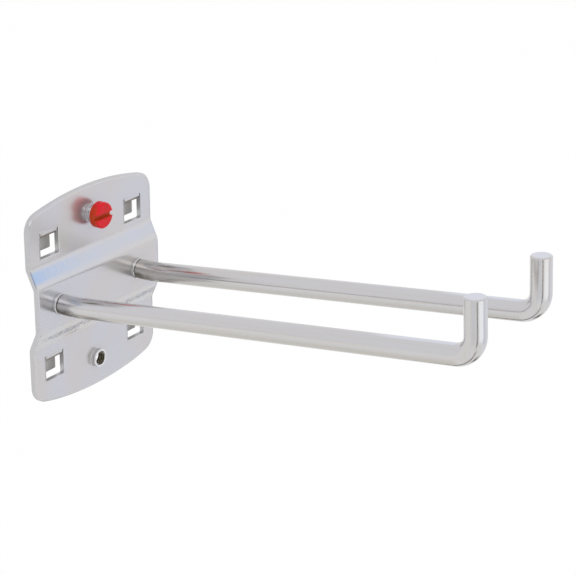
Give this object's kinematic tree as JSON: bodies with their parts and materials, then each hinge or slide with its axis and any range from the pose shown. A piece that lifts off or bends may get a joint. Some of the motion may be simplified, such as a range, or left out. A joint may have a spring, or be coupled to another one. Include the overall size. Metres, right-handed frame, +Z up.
{
  "type": "double pegboard hook",
  "caption": "Tool hook for a square-hole panel: pressed plate with hooks bent out behind, round bars turned up at the ends, and a slotted plastic locking screw.",
  "frame": {"origin": "middle of the back plate across, in the plane that touches the panel, level with the feet of the bars", "axes": "+X to the right as seen from the room, +Y into the panel, +Z up; the bars reach out along -Y"},
  "size_m": [0.0558, 0.1447, 0.0644],
  "materials": {
    "plated_plate": "bright zinc plating on pressed sheet, soft mirror",
    "plated_bar": "bright zinc plating on drawn round bar, fine lengthwise drawing lines",
    "red_plastic": "moulded, glossy"
  },
  "bodies": {
    "holder": {"back_plate": "plated_plate", "left_bar": "plated_bar", "right_bar": "plated_bar"},
    "locking_screw": {"locking_screw": "red_plastic"}
  },
  "joints": [
    {"name": "screw_travel", "type": "slide", "parent": "holder", "child": "locking_screw", "axis": [0, 1, 0], "range_m": [-0.002, 0.0002]}
  ]
}
